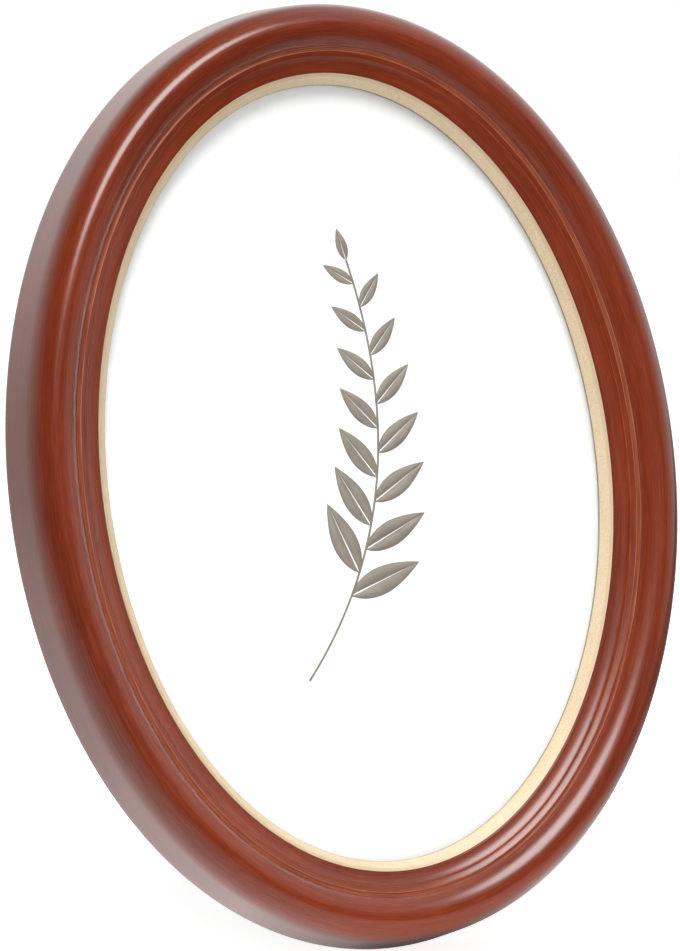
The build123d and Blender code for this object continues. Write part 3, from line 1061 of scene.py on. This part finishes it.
@dataclass
class LeafSprig:
    """Plain leafy sprig printed on the card in one warm grey."""

    foot: Point = (-13.0, -38.0)
    bend: Point = (14.0, -6.0)
    tip: Point = (4.0, 40.0)
    stem_points: int = 48
    stem_width: float = 0.42
    leaf_count: int = 15
    leaf_steps: int = 14
    leaf_length: float = 15.0
    leaf_width: float = 5.2
    leaf_belly: float = 0.8
    leaf_fullness: float = 0.9
    midrib_gap: float = 0.34
    leaf_angle_deg: float = 44.0
    first_leaf: float = 0.22
    tip_share: float = 0.42
    print_thickness: float = 0.02

    def stem(self) -> bpy.types.Object:
        """Stem's line, as an object for the tree."""
        a, b, c = (Vector((*p, 0.0)) for p in (self.foot, self.bend, self.tip))
        shares = [i / (self.stem_points - 1) for i in range(self.stem_points)]
        places = [a.lerp(b, t).lerp(b.lerp(c, t), t) for t in shares]
        steps = [(i, i + 1) for i in range(self.stem_points - 1)]
        return plain_object("sprig_stem", places, steps, [])

    def leaf(self) -> bpy.types.Object:
        """One leaf along +X in two halves, parted by a bare midrib."""
        places, faces = [], []
        for side in (-1, 1):
            first = len(places)
            for i in range(self.leaf_steps + 1):
                t = i / self.leaf_steps
                half = self.leaf_width / 2 * math.sin(math.pi * t ** self.leaf_belly) ** self.leaf_fullness
                rib = self.midrib_gap / 2 * (1 - t)
                x = self.leaf_length * t
                places.append((x, side * min(rib, half), 0.0))
                places.append((x, side * max(half, rib * self.leaf_fullness), 0.0))
            for i in range(self.leaf_steps):
                k = first + 2 * i
                quad = (k, k + 2, k + 3, k + 1)
                faces.append(quad if side > 0 else quad[::-1])
        return plain_object("sprig_leaf", places, [], faces)

    def tree(self) -> bpy.types.NodeTree:
        """Geometry tree that sets leaves on alternate sides of a stem.

        Returns:
            The tree.
        """
        tree = new_geometry_tree("leaves_along_stem", {
            "Stem": "NodeSocketObject", "Leaf": "NodeSocketObject", "Leaves": "NodeSocketInt",
            "Leaf Angle": "NodeSocketFloat", "First Leaf": "NodeSocketFloat",
            "Tip Share": "NodeSocketFloat", "Stem Width": "NodeSocketFloat",
            "Finish": "NodeSocketMaterial",
        })
        graph = Graph(tree)
        given = graph.add("NodeGroupInput").outputs
        stem_info = graph.add("GeometryNodeObjectInfo", {"Object": given["Stem"]})
        leaf_info = graph.add("GeometryNodeObjectInfo", {"Object": given["Leaf"]})
        line = graph.add("GeometryNodeMeshToCurve", {"Mesh": stem_info.outputs["Geometry"]})
        leafy = graph.add("GeometryNodeTrimCurve",
                          {"Curve": line.outputs[0], "Start": given["First Leaf"], "End": 1.0},
                          mode="FACTOR")
        nodes = graph.add("GeometryNodeResampleCurve",
                          {"Curve": leafy.outputs[0], "Count": given["Leaves"]})
        index = graph.add("GeometryNodeInputIndex").outputs[0]
        parity = graph.math("MULTIPLY", graph.math("MODULO", index, 2.0), 2.0)
        side = graph.math("SUBTRACT", parity, 1.0)
        last = graph.math("SUBTRACT", given["Leaves"], 1.0)
        inner = graph.math("LESS_THAN", index, graph.math("SUBTRACT", last, 0.5))
        lean = graph.math("MULTIPLY", graph.math("MULTIPLY", side, inner), given["Leaf Angle"])
        tangent = graph.add("GeometryNodeInputTangent").outputs[0]
        turned = graph.turned("X", tangent, lean)
        along = graph.add("GeometryNodeSplineParameter").outputs["Factor"]
        size = graph.add("ShaderNodeMapRange", {0: along, 3: 1.0, 4: given["Tip Share"]}).outputs[0]
        leaves = graph.add("GeometryNodeInstanceOnPoints", {
            "Points": nodes.outputs[0], "Instance": leaf_info.outputs["Geometry"],
            "Rotation": turned, "Scale": size,
        })
        half = graph.math("MULTIPLY", given["Stem Width"], 0.5)
        flat = graph.add("GeometryNodeCurvePrimitiveLine", {
            "Start": graph.combine(graph.math("MULTIPLY", half, -1.0), 0.0, 0.0),
            "End": graph.combine(half, 0.0, 0.0),
        }, mode="POINTS")
        upright = graph.add("GeometryNodeSetCurveNormal", {0: line.outputs[0]}, mode="Z_UP")
        ribbon = graph.add("GeometryNodeCurveToMesh",
                           {"Curve": upright.outputs[0], "Profile Curve": flat.outputs[0]})
        both = graph.add("GeometryNodeJoinGeometry")
        for part in (leaves.outputs[0], ribbon.outputs[0]):
            tree.links.new(part, both.inputs[0])
        finish_tree(graph, both.outputs[0], given["Finish"])
        return tree

    def build(self, palette: Palette, place: Matrix) -> None:
        """Build the print.

        Args:
            palette: the materials.
            place: from the card's millimetres to the shared frame.
        """
        stem, leaf = self.stem(), self.leaf()
        printed = run_tree("card_print", self.tree(), {
            "Stem": stem, "Leaf": leaf, "Leaves": self.leaf_count,
            "Leaf Angle": math.radians(self.leaf_angle_deg), "First Leaf": self.first_leaf,
            "Tip Share": self.tip_share, "Stem Width": self.stem_width, "Finish": palette.ink,
        }, place, self.print_thickness)
        for helper in (stem, leaf):
            bpy.data.objects.remove(helper)
        bind(printed, Body.FRAME, Slot.CARD)


@dataclass
class Fasteners:
    """Rivets and screws: one turned shape on all the seats of a node."""

    sides: int = 40
    dome_steps: int = 8
    edge_share: float = 0.3
    rivet_roundness: float = 2.0
    screw_roundness: float = 3.0
    recess_length: float = 3.2
    recess_width: float = 0.6
    recess_depth: float = 0.8
    spin_seed: int = 7
    rim_share: float = 0.97
    seat_margin: float = 0.1

    @staticmethod
    def islands(work: bmesh.types.BMesh) -> list[list[Vector]]:
        """Corners of each separate solid in a mesh, in the mesh's own order."""
        found, seen = [], set()
        for start in work.verts:
            if start in seen:
                continue
            seen.add(start)
            island = [start]
            for vert in island:
                for edge in vert.link_edges:
                    other = edge.other_vert(vert)
                    if other not in seen:
                        seen.add(other)
                        island.append(other)
            found.append([vert.co.copy() for vert in island])
        return found

    @staticmethod
    def axis(carrier: str) -> Vector:
        """Direction square to the largest face of a flat node."""
        work = merged_copy(carrier)
        way = max(work.faces, key=lambda face: face.calc_area()).normal.copy()
        work.free()
        return way

    def measured(self, node: str, carrier: str) -> tuple[list[Vector], Vector, dict[str, float]]:
        """Read the seats and the sizes of a node's fasteners.

        Args:
            node: the node that holds the fasteners.
            carrier: the flat node that they go into.

        Returns:
            The middle of each seat, the way that the heads face, and the sizes of one fastener.
        """
        way = self.axis(carrier)
        work = merged_copy(node)
        seats, sizes = [], {}
        for corners in self.islands(work):
            middle = sum(corners, Vector()) / len(corners)
            heights = [(c - middle).dot(way) for c in corners]
            radii = [(c - middle - way * h).length for c, h in zip(corners, heights)]
            rim = [h for h, r in zip(heights, radii) if r > self.rim_share * max(radii)]
            if sum(rim) / len(rim) < (min(heights) + max(heights)) / 2:
                way = -way
                heights = [-h for h in heights]
                rim = [-h for h in rim]
            seat = min(rim)
            seats.append(middle + way * seat)
            shank = [r for h, r in zip(heights, radii) if h < seat - self.seat_margin]
            sizes = {
                "head_radius": max(radii), "head_height": max(heights) - seat,
                "shank_radius": max(shank), "shank_length": seat - min(heights),
            }
        work.free()
        return seats, way, sizes

    def shape(self, sizes: dict[str, float], roundness: float) -> bpy.types.Object:
        """One fastener on its seat, with a domed head along +Z.

        Args:
            sizes: radius and height of the head, radius and length of the shank.
            roundness: how square the dome's shoulder is, from 2 for a round one.

        Returns:
            The fastener, as an object for the tree.
        """
        radius, height = sizes["head_radius"], sizes["head_height"]
        edge = height * self.edge_share
        profile = [(0.0, -sizes["shank_length"]), (sizes["shank_radius"], -sizes["shank_length"]),
                   (sizes["shank_radius"], 0.0), (radius, 0.0)]
        for i in range(self.dome_steps + 1):
            turn = math.pi / 2 * i / self.dome_steps
            across = max(math.cos(turn), 0.0) ** (2 / roundness)
            up = math.sin(turn) ** (2 / roundness)
            profile.append((radius * across, edge + (height - edge) * up))
        profile[-1] = (0.0, height)
        work = bmesh.new()
        verts = [work.verts.new((x, 0.0, z)) for x, z in profile]
        edges = [work.edges.new(pair) for pair in zip(verts, verts[1:])]
        bmesh.ops.spin(work, geom=verts + edges, axis=(0, 0, 1), cent=(0, 0, 0), dvec=(0, 0, 0),
                       angle=math.tau, steps=self.sides, use_merge=True, use_duplicate=False)
        bmesh.ops.remove_doubles(work, verts=work.verts, dist=MERGE_MM)
        return new_piece("fastener_shape", work, Matrix.Identity(4))

    def tree(self) -> bpy.types.NodeTree:
        """Geometry tree that sets a fastener on every seat, turned at random.

        Returns:
            The tree.
        """
        tree = new_geometry_tree("fasteners_on_seats", {
            "Seats": "NodeSocketObject", "Shape": "NodeSocketObject", "Facing": "NodeSocketVector",
            "Cross Recess": "NodeSocketBool", "Recess Length": "NodeSocketFloat",
            "Recess Width": "NodeSocketFloat", "Recess Depth": "NodeSocketFloat",
            "Head Height": "NodeSocketFloat", "Seed": "NodeSocketInt", "Finish": "NodeSocketMaterial",
        })
        graph = Graph(tree)
        given = graph.add("NodeGroupInput").outputs
        seats = graph.add("GeometryNodeObjectInfo", {"Object": given["Seats"]}).outputs["Geometry"]
        shape = graph.add("GeometryNodeObjectInfo", {"Object": given["Shape"]}).outputs["Geometry"]
        length, width = given["Recess Length"], given["Recess Width"]
        deep = graph.math("MULTIPLY", given["Recess Depth"], 2.0)
        cut = graph.add("GeometryNodeMeshBoolean", {"Mesh 1": shape}, operation="DIFFERENCE")
        for size in (graph.combine(length, width, deep), graph.combine(width, length, deep)):
            bar = graph.add("GeometryNodeMeshCube", {"Size": size}).outputs[0]
            raised = graph.add("GeometryNodeTransform", {
                "Geometry": bar, "Translation": graph.combine(0.0, 0.0, given["Head Height"])})
            tree.links.new(raised.outputs[0], cut.inputs["Mesh 2"])
        fastener = graph.add("GeometryNodeSwitch", {
            "Switch": given["Cross Recess"], "False": shape, "True": cut.outputs[0],
        }, input_type="GEOMETRY").outputs[0]
        spin = graph.add("FunctionNodeRandomValue", {"Seed": given["Seed"]}, data_type="FLOAT")
        angle = graph.math("MULTIPLY", spin.outputs[1], math.tau)
        placed = graph.add("GeometryNodeInstanceOnPoints", {
            "Points": seats, "Instance": fastener,
            "Rotation": graph.turned("Z", given["Facing"], angle)})
        finish_tree(graph, placed.outputs[0], given["Finish"])
        return tree

    def build(self, node: str, carrier: str, body: Body, crossed: bool, palette: Palette) -> None:
        """Make the fasteners of one node.

        Args:
            node: the node that holds them.
            carrier: the flat node that they go into.
            body: the body that they ride on.
            crossed: whether their heads have a cross recess.
            palette: the materials.
        """
        places, way, sizes = self.measured(node, carrier)
        seats = plain_object("fastener_seats", places, [], [])
        shape = self.shape(sizes, self.screw_roundness if crossed else self.rivet_roundness)
        tree = bpy.data.node_groups.get("fasteners_on_seats") or self.tree()
        piece = run_tree(f"{node}_finished", tree, {
            "Seats": seats, "Shape": shape, "Facing": way, "Cross Recess": crossed,
            "Recess Length": self.recess_length, "Recess Width": self.recess_width,
            "Recess Depth": self.recess_depth, "Head Height": sizes["head_height"],
            "Seed": self.spin_seed, "Finish": palette.steel,
        }, Matrix.Scale(MM, 4))
        piece.data.set_sharp_from_angle(angle=math.radians(SMOOTH_DEG))
        for helper in (seats, shape):
            bpy.data.objects.remove(helper)
        bind(piece, body, Slot.STEEL, node)


@dataclass
class RearHardware:
    """Back board, strut, hinge, turn buttons and hanger behind the frame."""

    board_ease: float = 0.35
    metal_ease: float = 0.16
    buttons: tuple[Body, ...] = (Body.UPPER_RIGHT_BUTTON, Body.UPPER_LEFT_BUTTON,
                                 Body.LOWER_LEFT_BUTTON, Body.LOWER_RIGHT_BUTTON)

    def build(self, palette: Palette) -> None:
        """Dress the pieces behind the frame.

        Args:
            palette: the materials.
        """
        plain = [
            ("back_board", Body.FRAME, Slot.BOARD, palette.board, self.board_ease),
            ("strut", Body.STRUT, Slot.BOARD, palette.board, self.board_ease),
            ("hinge_upper_leaf", Body.FRAME, Slot.STEEL, palette.steel, self.metal_ease),
            ("hinge_lower_leaf", Body.STRUT, Slot.STEEL, palette.steel, self.metal_ease),
            ("hinge_pin", Body.FRAME, Slot.STEEL, palette.steel, self.metal_ease),
            ("hanger_strap", Body.FRAME, Slot.STEEL, palette.steel, self.metal_ease),
            ("hanger_ring", Body.RING, Slot.STEEL, palette.steel, self.metal_ease),
        ]
        for button in self.buttons:
            plain.append((button.value, button, Slot.STEEL, palette.steel, self.metal_ease))
        for node, body, slot, finish, ease in plain:
            bind(eased_copy(node, f"{node}_finished", ease, finish), body, slot, node)
        fasteners = Fasteners()
        for node, carrier, body, crossed in (
            ("board_rivets", "back_board", Body.FRAME, False),
            ("strut_rivets", "strut", Body.STRUT, False),
            ("hanger_rivet", "back_board", Body.FRAME, False),
            ("turn_button_screws", "back_board", Body.FRAME, True),
        ):
            fasteners.build(node, carrier, body, crossed, palette)


@dataclass(frozen=True)
class Softbox:
    """A soft oval light that faces the frame.

    Attributes:
        name: the light's name.
        way: direction from the frame to the light.
        distance: how far away it hangs, in metres.
        width: its width in metres.
        height: its height in metres.
        power: its power in watts.
        mirrored: whether it only shows as a mirrored streak, or only lights.
    """

    name: str
    way: Way
    distance: float
    width: float
    height: float
    power: float
    mirrored: bool = False
    length_way: Way = (0.786, 0.442, 0.432)
    target: Way = (0.0, 0.0, 0.087)

    def hang(self) -> None:
        """Hang the light, with its width along the given way."""
        lamp = bpy.data.lights.new(self.name, "AREA")
        lamp.shape = "ELLIPSE"
        lamp.size, lamp.size_y, lamp.energy = self.width, self.height, self.power
        holder = link_object(self.name, lamp)
        toward = Vector(self.way).normalized()
        holder.location = Vector(self.target) + toward * self.distance
        across = Vector(self.length_way)
        across = (across - toward * across.dot(toward)).normalized()
        axes = Matrix((across, toward.cross(across), toward)).transposed()
        holder.rotation_euler = axes.to_euler()
        holder.visible_glossy = self.mirrored
        holder.visible_diffuse = not self.mirrored


@dataclass
class Studio:
    """Pale floor, soft lights, white surroundings and the camera."""

    floor_half: float = 0.45
    floor_near: Colour = (0.92, 0.92, 0.92)
    floor_far: Colour = (0.42, 0.42, 0.42)
    floor_fade: Point = (0.13, 0.32)
    floor_glow: float = 0.8
    # Painted bounce light: the floor glows near the frame for diffuse rays
    bounce_place: Way = (0.025, -0.050, 0.0)
    bounce_fade: Point = (0.04, 0.14)
    bounce_level: float = 0.8
    # Painted light in the floor's reflections: brighter to the back left, dimmer far off
    bright_side: Way = (-0.7, 0.7, 0.0)
    bright_fade: Point = (-0.06, 0.06)
    far_fade: Point = (0.10, 0.35)
    # Painted shadow under the frame in the floor's reflections
    painted_shadow_place: Way = (0.005, -0.022, 0.0)
    painted_shadow_fade: Point = (0.010, 0.036)
    white: Colour = (1.0, 1.0, 1.0)
    fill_strength: float = 0.34
    back_way: Way = (0.15, 0.98, 0.0)
    right_way: Way = (0.85, 0.15, 0.50)
    camera_place: Way = (-534.7, -1524.87, 598.19)
    camera_pitch_deg: float = 17.61
    camera_yaw_deg: float = 19.29
    focal_pixels: float = 9000.0
    lamps: tuple[Softbox, ...] = (
        Softbox("key_softbox", (-0.23, -0.39, 0.89), 1.1, 0.95, 0.50, 5.5),
        Softbox("overhead_softbox", (-0.05, -0.28, 0.96), 1.0, 1.1, 0.80, 6.0),
        Softbox("front_softbox", (-0.10, -0.95, 0.30), 1.2, 1.0, 0.80, 3.0),
        Softbox("streak_softbox", (-0.23, -0.39, 0.89), 0.75, 0.62, 0.45, 8.0, mirrored=True),
    )

    def floor(self) -> None:
        """Lay the floor, which stays white to the camera and keeps the shadow, with painted light and a
        painted shadow in its reflections.
        """
        half = self.floor_half
        corners = [(-half, -half, 0), (half, -half, 0), (half, half, 0), (-half, half, 0)]
        floor = plain_object("floor", corners, [], [(0, 1, 2, 3)])
        made = bpy.data.materials.new("pale_floor")
        graph = blank_graph(made)
        place = graph.add("ShaderNodeTexCoord").outputs["Object"]
        away = graph.measure("LENGTH", place)
        tone = graph.mix(graph.remap(away, *self.floor_fade, 0.0, 1.0), self.floor_near, self.floor_far)
        matt = graph.add("ShaderNodeBsdfDiffuse", {"Color": tone}).outputs[0]
        path = graph.add("ShaderNodeLightPath").outputs
        seen = graph.math("MAXIMUM", path["Is Camera Ray"], path["Is Transmission Ray"])
        # Painted bounce light: the floor near the frame glows for diffuse rays
        near = graph.measure("DISTANCE", place, self.bounce_place)
        bounce = graph.remap(near, *self.bounce_fade, self.bounce_level, 0.0)
        strength = graph.math("ADD", graph.math("MULTIPLY", seen, self.floor_glow),
                              graph.math("MULTIPLY", path["Is Diffuse Ray"], bounce))
        glow = graph.add("ShaderNodeEmission", {"Strength": strength})
        both = graph.add("ShaderNodeAddShader", {0: matt, 1: glow.outputs[0]}).outputs[0]
        # Painted light in reflections: brighter to the back left, dimmer far off
        beside = graph.measure("DOT_PRODUCT", place, self.bright_side)
        level = graph.math("MULTIPLY", graph.remap(beside, *self.bright_fade, 0.15, 1.0),
                           graph.remap(away, *self.far_fade, 1.0, 0.6))
        level = graph.math("ADD", level, bounce)
        # Painted shadow in reflections: darker under the frame where it stands
        painted_shadow_reach = graph.measure("DISTANCE", place, self.painted_shadow_place)
        level = graph.math("MULTIPLY", level, graph.remap(painted_shadow_reach, *self.painted_shadow_fade, 0.1, 1.0))
        mirrored = graph.add("ShaderNodeEmission", {"Strength": level}).outputs[0]
        surface = graph.add("ShaderNodeMixShader", {0: path["Is Glossy Ray"], 1: both, 2: mirrored})
        graph.add("ShaderNodeOutputMaterial", {"Surface": surface.outputs[0]})
        floor.data.materials.append(made)

    def surroundings(self) -> None:
        """White world for the camera, with a lit back and right side to be mirrored."""
        world = bpy.data.worlds.new("surroundings")
        graph = blank_graph(world)
        path = graph.add("ShaderNodeLightPath").outputs
        seen = graph.math("MAXIMUM", path["Is Camera Ray"], path["Is Transmission Ray"])
        way = graph.add("ShaderNodeTexCoord").outputs["Generated"]
        behind = graph.measure("DOT_PRODUCT", way, self.back_way)
        right = graph.measure("DOT_PRODUCT", way, self.right_way)
        height = graph.add("ShaderNodeSeparateXYZ", {0: way}).outputs["Z"]
        mirrored = graph.math("MULTIPLY", graph.remap(behind, -0.1, 1.0, 0.0, 1.1),
                              graph.remap(height, 0.12, 0.55, 1.0, 0.1))
        mirrored = graph.math("MULTIPLY", mirrored, graph.remap(height, -0.2, -0.02, 0.6, 1.0))
        mirrored = graph.math("MAXIMUM", mirrored, graph.remap(right, 0.4, 0.9, 0.12, 1.15))
        inputs = {0: path["Is Glossy Ray"], 2: self.fill_strength, 3: mirrored}
        strength = graph.add("ShaderNodeMix", inputs, data_type="FLOAT").outputs[0]
        strength = graph.math("MAXIMUM", strength, seen)
        back = graph.add("ShaderNodeBackground", {"Color": opaque(self.white), "Strength": strength})
        graph.add("ShaderNodeOutputWorld", {"Surface": back.outputs[0]})
        bpy.context.scene.world = world

    def camera(self) -> None:
        """Set up the camera at the viewing angle."""
        lens = bpy.data.cameras.new("camera")
        lens.sensor_fit = "AUTO"
        lens.sensor_width = SENSOR_MM
        lens.lens = SENSOR_MM * self.focal_pixels / IMAGE_HEIGHT
        lens.clip_start, lens.clip_end = 0.05, 50.0
        holder = link_object("camera", lens)
        holder.location = Vector(self.camera_place) * MM
        holder.rotation_euler = (
            math.radians(90 - self.camera_pitch_deg), 0.0, -math.radians(self.camera_yaw_deg))
        bpy.context.scene.camera = holder

    def build(self) -> None:
        """Set up the whole studio."""
        self.floor()
        self.surroundings()
        for lamp in self.lamps:
            lamp.hang()
        self.camera()
        bpy.context.scene.view_settings.view_transform = "Standard"


def main() -> None:
    """Build and dress every sub-assembly, then the studio."""
    logging.basicConfig(level=logging.INFO, format="%(name)s %(message)s")
    palette = Palette.mixed()
    place = Stance().matrix()
    MouldedRim().build(OvalRing(), palette, place)
    Glazing().build(palette, place)
    RearHardware().build(palette)
    Studio().build()


if __name__ == "__main__":
    main()
